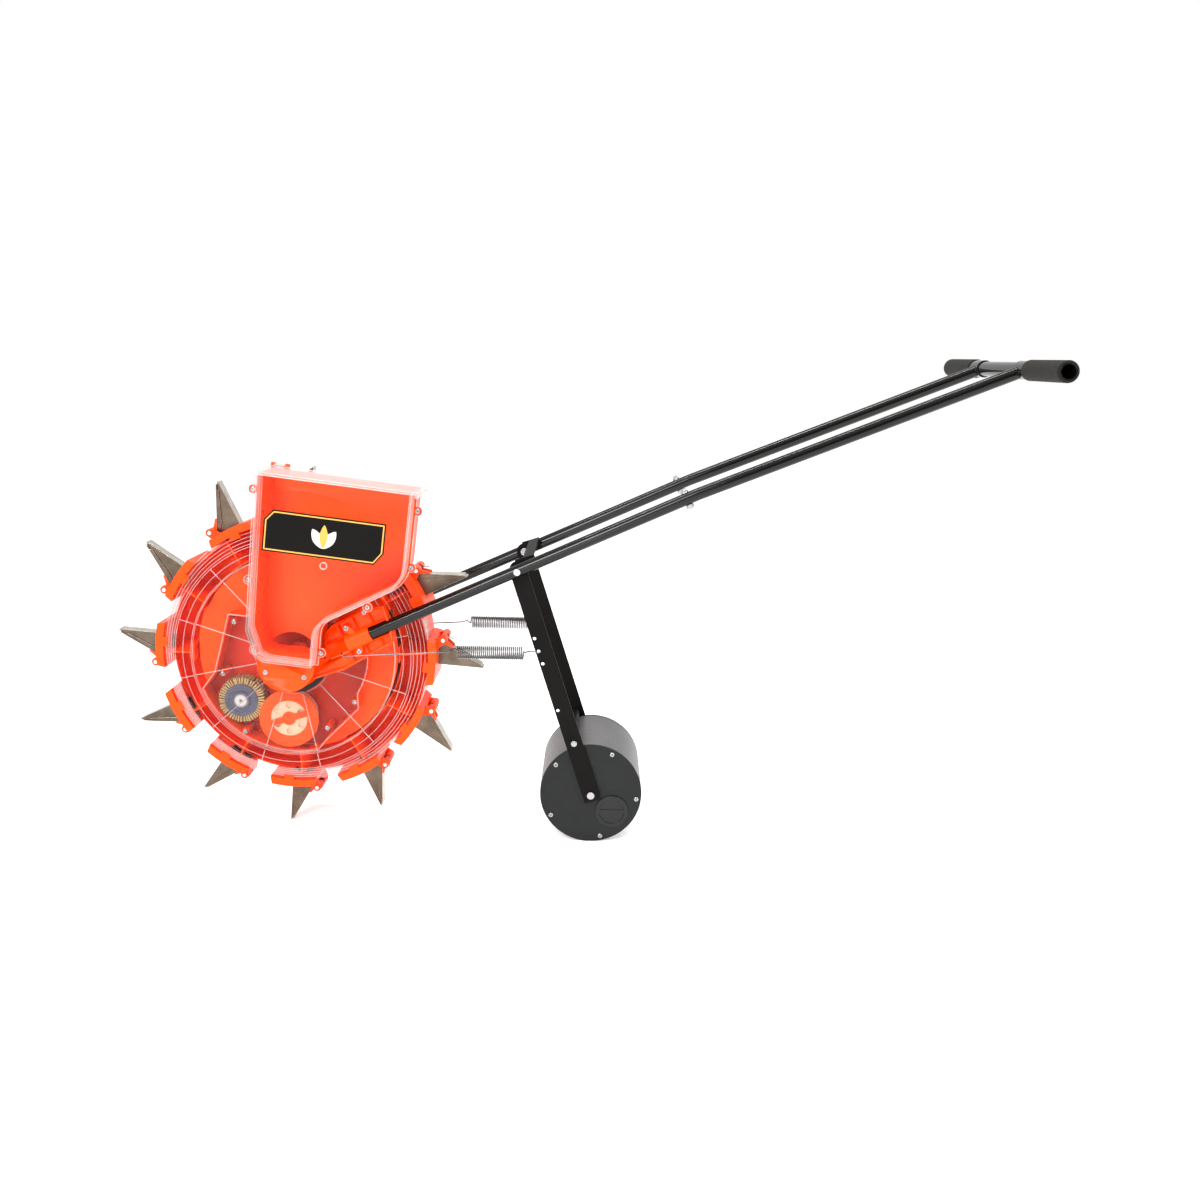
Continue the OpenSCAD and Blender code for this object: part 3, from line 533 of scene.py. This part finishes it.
def lamps():
    """Soft light from the front; the narrow top lamp draws the lines of light along the black tubes."""
    lamp("key", (-1.3, -2.6, 2.3), (-0.2, 0, 0.35), width=1.5, power=110)
    lamp("top", (0.3, 0.2, 3.0), (0.3, 0, 0.3), width=3.2, power=70, height=0.16)
    lamp("side", (2.2, -2.0, 1.4), (-0.1, 0, 0.4), width=1.2, power=35)
    lamp("fill", (-0.5, -3.0, 0.35), (-0.42, 0, 0.28), width=1.6, power=22)


camera()
sky()
floor()
lamps()

# ---- CAD nodes that keep their shape: moulded or pressed edges and the real materials ----
SLOT_OF = {part["node"]: part["material_slot"] for part in frame["record"]["subparts"]}
# How far each material's edges are rounded
EDGE = {
    "orange_plastic": 0.7 * MM,
    "salmon_plastic": 0.6 * MM,
    "clear_plastic": 0.6 * MM,
    "lid_plastic": 0.8 * MM,
    "black_plastic": 0.6 * MM,
    "grey_plastic": 0.3 * MM,
    "blue_grey_plastic": 0.5 * MM,
    "bristle": 0.3 * MM,
    "foam": 1.5 * MM,
    "black_tube": 0.3 * MM,
    "black_plate": 0.4 * MM,
    "roller_grey": 0.8 * MM,
    "bill_steel": 0.65 * MM,
    "bare_steel": 0.4 * MM,
    "spring_steel": 0.2 * MM,
    "zinc_screws": 0.3 * MM,
}
# Nodes with a material of their own: two change colour with the depth along Y, and one has a metal cap. On the
# meter plate the deeper colour is painted shade inside its housing; on the seed roller it is the roller's own
# beige.
OWN_MATERIAL = {
    "meter_plate": two_colour("meter_plate", PAINTED_SHADE_RED, ORANGE, y=-21 * MM),
    "seed_roller": two_colour("seed_roller", BEIGE, ORANGE, y=-50.3 * MM),
    "brush_hub": capped("brush_hub", (0.05, 0.055, 0.095), middle("brush_hub"), radius=11.5 * MM),
    "filler_plug": moulded("filler_plug", (0.004, 0.0042, 0.0042), 0.4, gloss=0.35),
}
# Its back wall has an opening, and joining the flat triangles round that spoils the wall's shading
NOT_MERGED = "hopper_back"


def dress_nodes():
    for node, piece in NODES.items():
        slot = SLOT_OF[node]
        piece.data.materials.clear()
        piece.data.materials.append(OWN_MATERIAL.get(node, MATERIALS[slot]))
        soften(piece, EDGE[slot], merge=node != NOT_MERGED)


dress_nodes()


# ---- Screws: domed heads with a cross recess ----
HEAD_STEPS = 48
# The dome's rings, as shares of the head's radius and height
HEAD_RINGS = [(1.0, 0.0), (1.0, 0.4), (0.93, 0.72), (0.8, 0.92), (0.66, 1.0)]
# The recess: its arms' length and half width as shares of the radius, and its depth as a share of the height
RECESS_ARM = 0.6
RECESS_HALF = 0.13
RECESS_DEPTH = 0.6


def screw_head(place, outward, radius, height):
    """A pan head standing on place, along outward, with a cross recess."""
    side = outward.orthogonal().normalized()
    other = outward.cross(side)
    twist = rng.uniform(0, math.pi)
    arm = RECESS_ARM * radius
    slot_half = RECESS_HALF * radius
    depth = RECESS_DEPTH * height
    spots, faces, loops = [], [], []
    for step in range(HEAD_STEPS):
        turn = 2 * math.pi * step / HEAD_STEPS
        across = (turn + math.pi / 4) % (math.pi / 2) - math.pi / 4
        cross = min(arm, slot_half / max(abs(math.sin(across)), 1e-6))
        loops.append((turn + twist, cross))
    for share, rise in HEAD_RINGS:
        spots += [(share * radius, rise * height, turn) for turn, cross in loops]
    for rise in (height, height - depth):
        spots += [(cross, rise, turn) for turn, cross in loops]
    points = [
        place + outward * rise + reach * (math.cos(turn) * side + math.sin(turn) * other)
        for reach, rise, turn in spots
    ]
    for ring in range(len(HEAD_RINGS) + 1):
        for step in range(HEAD_STEPS):
            a, b = ring * HEAD_STEPS + step, ring * HEAD_STEPS + (step + 1) % HEAD_STEPS
            faces.append((a, b, b + HEAD_STEPS, a + HEAD_STEPS))
    last = len(points) - HEAD_STEPS
    faces.append(tuple(range(last, last + HEAD_STEPS)))
    faces.append(tuple(range(HEAD_STEPS))[::-1])
    return points, faces


def screws(node, body, head_height):
    """Detailed heads in place of a node's plain screws, one for each solid in it."""
    parts = []
    for low, high in islands(node):
        centre = (low + high) / 2
        outward = Vector((0, math.copysign(1, centre.y), 0))
        outer = high.y if centre.y > 0 else low.y
        radius = (high.x - low.x) / 2
        seat = Vector((centre.x, outer - outward.y * head_height, centre.z))
        parts.append(screw_head(seat, outward, radius, head_height))
    verts, faces = joined(parts)
    make(node + "_detail", verts, faces, "zinc_screws", body, [node])


screws("frame_screws", "root", 2.2 * MM)
screws("cover_screws", "wheel", 2.2 * MM)
screws("cap_screws", "press_roller", 2.0 * MM)


# ---- Leg springs ----
TURN_STEPS = 16
WIRE = 1.1 * MM
COIL_R = 9.7 * MM
COIL_TURNS = 33
# Each spring's distance from the middle plane
SPRING_Y = 106 * MM
# From the axle, along X: the hole in the bracket, and the coil's two ends
BRACKET_HOLE_X = 88.7 * MM
COIL_START_X = 267 * MM
COIL_END_X = 370 * MM
# From the axle, up: the hole in the bracket, the coil and the hole in the leg
BRACKET_HOLE_Z = 13 * MM
COIL_Z = 23 * MM
LEG_HOLE_Z = 21.5 * MM
# How far before the coil the long hook's wire starts to turn, and the points along its turn and its straight
LEAD = 14 * MM
LEAD_STEPS = 6
STRAIGHT_STEPS = 8
# The hooks' bends in millimetres from their holes: along X, outwards and up
LONG_HOOK = [(-4, -4, 5), (-1.5, 0, 2)]
SHORT_HOOK = [(-5, 0, 4), (0, -2, 1), (0, -10, 0)]


def hook_points(hole, bends, side):
    return [hole + Vector((x * MM, side * out * MM, up * MM)) for x, out, up in bends]


def leg_spring(side):
    """An extension spring with a long hook to the bracket and a short one to the leg, and its coil's ends."""
    reach = next(high.x for low, high in islands("leg_springs") if (low.y + high.y) * side > 0)
    y = side * SPRING_Y
    z = AXLE.z + COIL_Z
    first = AXLE.x + COIL_START_X
    last = AXLE.x + COIL_END_X
    bracket_hole = Vector((AXLE.x + BRACKET_HOLE_X, y, AXLE.z + BRACKET_HOLE_Z))
    leg_hole = Vector((reach - WIRE, y, AXLE.z + LEG_HOLE_Z))
    lead = Vector((first - LEAD, y, z))
    points = hook_points(bracket_hole, LONG_HOOK, side)
    points += [bracket_hole.lerp(lead, step / STRAIGHT_STEPS) for step in range(STRAIGHT_STEPS + 1)]
    for step in range(1, LEAD_STEPS + 1):
        share = step / LEAD_STEPS
        inward = COIL_R * math.sin(share * math.pi / 2)
        rise = COIL_R * 0.4 * math.sin(share * math.pi)
        points.append(Vector((first - LEAD + LEAD * share, y - side * inward, z + rise)))
    for step in range(COIL_TURNS * TURN_STEPS + 1):
        turn = 2 * math.pi * step / TURN_STEPS - math.pi / 2
        x = first + (last - first) * step / (COIL_TURNS * TURN_STEPS)
        points.append(Vector((x, y + side * COIL_R * math.sin(turn), z + COIL_R * math.cos(turn))))
    points.append(Vector((last + 3 * MM, y - side * COIL_R * 0.6, z)))
    points.append(Vector((last + 9 * MM, y, z + 3 * MM)))
    points += hook_points(leg_hole, SHORT_HOOK, side)
    return sweep(points, WIRE, sides=10), Vector((first, 0, z)), Vector((last, 0, z))


near_wire, coil_start, coil_end = leg_spring(-1)
far_wire, coil_start, coil_end = leg_spring(1)
spring_verts, spring_faces = joined([near_wire, far_wire])
springs = make("leg_spring_coils", spring_verts, spring_faces, "spring_steel", None, ["leg_springs"])
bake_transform(springs)


# ---- Bill springs ----
BILL_COIL_R = 3.9 * MM
BILL_COIL_HALF = 6.2 * MM
BILL_COIL_TURNS = 5
BILL_WIRE = 0.8 * MM
# The springs' ends from the hinge pin, in millimetres: outwards along the unit's radius and across it
SEAT_END = (-9, -6)
BILL_END = (15, -5.5)


def bill_spring(angle):
    """A torsion spring round the hinge pin, with one end on the seat and one on the bill."""
    x, z = turned(PIN[0], PIN[1], angle)
    centre = Vector((AXLE.x + x, 0, AXLE.z + z))
    radial = Vector((math.cos(angle), 0, math.sin(angle)))
    across = Vector((-math.sin(angle), 0, math.cos(angle)))
    half = Vector((0, BILL_COIL_HALF, 0))
    points = [centre - half + radial * SEAT_END[0] * MM + across * SEAT_END[1] * MM]
    for step in range(BILL_COIL_TURNS * TURN_STEPS + 1):
        turn = 2 * math.pi * step / TURN_STEPS
        share = step / (BILL_COIL_TURNS * TURN_STEPS)
        ring = radial * math.cos(turn) * BILL_COIL_R + across * math.sin(turn) * BILL_COIL_R
        points.append(centre + ring + Vector((0, BILL_COIL_HALF * (2 * share - 1), 0)))
    points.append(centre + half + radial * BILL_END[0] * MM + across * BILL_END[1] * MM)
    return sweep(points, BILL_WIRE, sides=6)


bill_verts, bill_faces = joined([bill_spring(unit_angle(number)) for number in UNIT_NUMBERS])
make("bill_spring_coils", bill_verts, bill_faces, "spring_steel", "wheel", ["bill_springs"])


# ---- Clear cover: fine beads round its steps and slope, and radial ribs, in a paler, denser clear that paints highlights on them ----
# Radius and place along Y of each bead, and half its thickness, in millimetres
BEADS = [
    (60.5, -65.6), (161.6, -63.0), (163.2, -65.7), (176.0, -66.0), (188.0, -66.0), (191.6, -64.2),
    (197.0, -59.2), (202.5, -54.0), (208.0, -49.0), (213.2, -43.4), (213.4, -38.0), (213.4, -4.0),
]
BEAD_HALF = 0.35
# The ribs, one of each for every unit: inner end, outer end, place along Y and half width, in millimetres
RIBS = [(61, 161, -63.4, 0.45), (163, 188, -66.0, 0.4)]
# How far round from each unit its ribs are
RIB_TURN = math.radians(16.5)


def bead(radius, y, half):
    """A ring of six-sided wire round the axle."""
    profile = []
    for step in range(6):
        turn = step * math.pi / 3
        profile.append((radius + half * math.cos(turn), y + half * math.sin(turn)))
    return lathe(profile, AXLE, 180)


def rib(angle, inner, outer, y, half):
    """A thin square strip along a radius, on the outer face of the cover."""
    radial = Vector((math.cos(angle), 0, math.sin(angle)))
    across = Vector((-math.sin(angle), 0, math.cos(angle)))
    centre = Vector((AXLE.x, y, AXLE.z))
    verts = []
    for reach in (inner, outer):
        for a, b in SQUARE:
            verts.append(centre + radial * reach + across * half * a + Vector((0, half * b, 0)))
    return verts, BAR_FACES


def cover_beads():
    parts = [bead(radius * MM, y * MM, BEAD_HALF * MM) for radius, y in BEADS]
    for number in UNIT_NUMBERS:
        angle = unit_angle(number) + RIB_TURN
        parts += [rib(angle, inner * MM, outer * MM, y * MM, half * MM) for inner, outer, y, half in RIBS]
    verts, faces = joined(parts)
    make("cover_beads", verts, faces, "clear_plastic", "wheel", material=EDGE_HIGHLIGHT)


cover_beads()


# ---- Strips of painted highlight on the sharp edges of clear parts ----
# Edges that turn by more than this, and are longer than this, get a strip
SHARP = math.radians(40)
SHORTEST = 0.4 * MM


def sharp_edges(node, angle):
    """The ends of every edge of a CAD node where its faces turn by more than angle."""
    mesh = NODES[node].data
    sides = {}
    for polygon in mesh.polygons:
        keys = [tuple(round(c, 5) for c in mesh.vertices[index].co) for index in polygon.vertices]
        for a, b in zip(keys, keys[1:] + keys[:1]):
            sides.setdefault((min(a, b), max(a, b)), []).append(polygon.normal.copy())
    limit = math.cos(angle)
    return [
        (Vector(a), Vector(b))
        for (a, b), normals in sorted(sides.items())
        if len(normals) == 2 and normals[0].dot(normals[1]) < limit
    ]


def edge_highlight_strips(node, body, half):
    """Thin square strips on a clear part's sharp edges, in a paler, denser clear that paints highlights along
    them.
    """
    parts = []
    for a, b in sharp_edges(node, SHARP):
        if (b - a).length < SHORTEST:
            continue
        side = (b - a).orthogonal().normalized() * half
        other = (b - a).cross(side).normalized() * half
        verts = [end + x * side + y * other for end in (a, b) for x, y in SQUARE]
        parts.append((verts, BAR_FACES))
    verts, faces = joined(parts)
    make(node + "_edges", verts, faces, "clear_plastic", body, material=EDGE_HIGHLIGHT)


edge_highlight_strips("hopper_front", "root", 0.25 * MM)
edge_highlight_strips("hopper_lid", "hopper_lid", 0.4 * MM)
edge_highlight_strips("meter_cover", "root", 0.3 * MM)


# ---- Cleaning brush: tufts of bristle in rings ----
BRUSH_ROWS = 9
ROW_TUFTS = 46
TUFT_FOOT = 22 * MM
TUFT_HALF = 1.05 * MM
TUFT_SPREAD = 1.25
ROOT_INNER = 20 * MM


def bristle(centre, angle, y, lean, inner, outer, width):
    """One tuft as a four-sided bar, wider at its tip, which leans a little round the hub."""
    verts = []
    for reach, half in ((inner, width), (outer, width * TUFT_SPREAD)):
        swing = angle + (lean if reach == outer else 0)
        radial = Vector((math.cos(swing), 0, math.sin(swing)))
        across = Vector((-math.sin(swing), 0, math.cos(swing)))
        for a, b in SQUARE:
            verts.append(centre + radial * reach + across * half * a + Vector((0, y + half * b, 0)))
    faces = [(0, 1, 2, 3), (7, 6, 5, 4), (0, 4, 5, 1), (1, 5, 6, 2), (2, 6, 7, 3), (3, 7, 4, 0)]
    return verts, faces


def brush():
    """Rows of tufts, each a little out of its even place and a little short, over a dark body of painted shade
    where their packed roots lie.
    """
    low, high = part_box("brush_bristles")
    centre = middle("brush_bristles")
    centre.y = 0
    outer = (high[0] - low[0]) / 2
    parts = []
    for row in range(BRUSH_ROWS):
        y = low[1] + (high[1] - low[1]) * (row + 0.5) / BRUSH_ROWS
        for index in range(ROW_TUFTS):
            angle = 2 * math.pi * (index + rng.uniform(-0.15, 0.15)) / ROW_TUFTS
            reach = outer - rng.uniform(0, 1.6) * MM
            lean = rng.uniform(-0.02, 0.02)
            parts.append(bristle(centre, angle, y, lean, TUFT_FOOT, reach, TUFT_HALF))
    verts, faces = joined(parts)
    # A dark body of painted shade for the packed roots, in the shade between the tufts
    root_r = outer - 3 * MM
    front = low[1] + 3 * MM
    back = high[1] - 0.5 * MM
    roots = lathe([(ROOT_INNER, front), (root_r, front), (root_r, back), (ROOT_INNER, back)], centre, 48)
    make("brush_root_shade", *roots, "bristle", "cleaning_brush", material=ROOT_SHADE)
    make("brush_tufts", verts, faces, "bristle", "cleaning_brush", ["brush_bristles"], smooth=False)


brush()


# ---- Foam grips: sleeves with rounded mouths over the bar's ends ----
BAR_R = 12.02 * MM
# How far the mouths are rounded, and the small flare of the outer one round the bar
MOUTH_R = 2.4 * MM
FLARE_R = 12.3 * MM
FLARE_DEPTH = 0.6 * MM
GRIP_START = 125 * MM
# How far the foam's surface dips along its length
DIP = 0.12 * MM
LENGTH_STEPS = 24


def grip(side):
    """One grip as a turned profile, from its inner mouth to its outer one."""
    low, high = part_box("grips")
    flat_r = (high[0] - low[0]) / 2
    crown_r = flat_r - MOUTH_R
    start = side * GRIP_START
    end = side * high[1]
    profile = [(BAR_R, start), (crown_r, start)]
    for step in range(1, 7):
        turn = math.radians(15 * step)
        profile.append((crown_r + MOUTH_R * math.sin(turn), start + side * MOUTH_R * (1 - math.cos(turn))))
    for step in range(1, LENGTH_STEPS):
        dip = DIP * math.sin(step * 1.7) ** 2
        profile.append((flat_r - dip, start + (end - start) * step / LENGTH_STEPS))
    for step in range(7):
        turn = math.radians(15 * step)
        profile.append((crown_r + MOUTH_R * math.cos(turn), end - side * MOUTH_R * (1 - math.sin(turn))))
    profile += [(FLARE_R, end), (BAR_R, end - side * FLARE_DEPTH)]
    if side < 0:
        profile.reverse()
    return lathe(profile, middle("grips"), 64)


grip_verts, grip_faces = joined([grip(-1), grip(1)])
make("foam_grips", grip_verts, grip_faces, "foam", "root", ["grips"])


# ---- Label plate on the hopper: dark plate, gold border and a sprout ----
FRONT_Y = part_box("hopper_front")[0][1]
# Places on the hopper, along its mouth and up from the axle
LABEL_LEFT = -35.5 * MM
LABEL_RIGHT = 144 * MM
LABEL_BOTTOM = 187 * MM
LABEL_TOP = 250 * MM
CUT_CORNER = 13 * MM
SPROUT_FOOT = (54 * MM, 201 * MM)
# How far in from the plate's outline the border starts and ends
BORDER_OUTER = 2.2 * MM
BORDER_INNER = 4.2 * MM
# How far each layer stands in front of the hopper, and where the raised ones start
PLATE_BACK = 0.05 * MM
RAISED_BACK = 0.8 * MM
PLATE_FRONT = 0.9 * MM
BORDER_FRONT = 1.05 * MM
# The sprout's leaves: direction in degrees, length, half width and height in millimetres, and material
LEAVES = [(58, 33, 7.5, 1.1, LABEL_LEAF), (122, 33, 7.5, 1.1, LABEL_LEAF), (90, 36, 6, 1.2, LABEL_GOLD)]


def plate(name, outline, front, back, material):
    """A flat plate in front of the hopper's front wall."""
    count = len(outline)
    verts = [on_hopper(u, v, FRONT_Y - height) for height in (front, back) for u, v in outline]
    faces = [tuple(range(count)), tuple(range(count, 2 * count))[::-1]]
    faces += [(i, count + i, count + (i + 1) % count, (i + 1) % count) for i in range(count)]
    piece = make(name, verts, faces, "black_plastic", "root", smooth=False, material=material)
    soften(piece, 0.15 * MM, angle=40)


def label_outline(inset):
    """The plate's outline with two cut corners, moved inwards by inset."""
    left = LABEL_LEFT + inset
    right = LABEL_RIGHT - inset
    bottom = LABEL_BOTTOM + inset
    top = LABEL_TOP - inset
    cut = CUT_CORNER - inset * 0.6
    lower_right = [(right - cut, bottom), (right, bottom + cut * 1.4)]
    upper_left = [(left + cut, top), (left, top - cut * 1.2)]
    return [(left, bottom)] + lower_right + [(right, top)] + upper_left


LEAF_STEPS = 14


def leaf(base, angle, length, width):
    """A pointed leaf as a closed outline."""
    points = []
    for side in (1, -1):
        for step in range(LEAF_STEPS):
            share = step / LEAF_STEPS if side == 1 else 1 - step / LEAF_STEPS
            bulge = side * width * math.sin(math.pi * share) ** 0.8
            u, v = turned(share * length, bulge, angle)
            points.append((base[0] + u, base[1] + v))
    return points


def label_border():
    """A raised gold frame round the plate."""
    outlines = [label_outline(BORDER_OUTER), label_outline(BORDER_INNER)]
    verts, faces = [], []
    for height in (BORDER_FRONT, RAISED_BACK):
        for outline in outlines:
            verts += [on_hopper(u, v, FRONT_Y - height) for u, v in outline]
    count = len(outlines[0])
    for i in range(count):
        j = (i + 1) % count
        faces.append((i, j, count + j, count + i))
        faces.append((2 * count + i, 3 * count + i, 3 * count + j, 2 * count + j))
        faces.append((i, 2 * count + i, 2 * count + j, j))
        faces.append((count + i, count + j, 3 * count + j, 3 * count + i))
    make("label_border", verts, faces, "black_plastic", "root", smooth=False, material=LABEL_GOLD)


def sprout():
    for number, (angle, length, width, height, material) in enumerate(LEAVES, 1):
        outline = leaf(SPROUT_FOOT, math.radians(angle), length * MM, width * MM)
        plate(f"label_leaf_{number}", outline, height * MM, RAISED_BACK, material)


plate("label_plate", label_outline(0), PLATE_FRONT, PLATE_BACK, LABEL_BLACK)
label_border()
sprout()
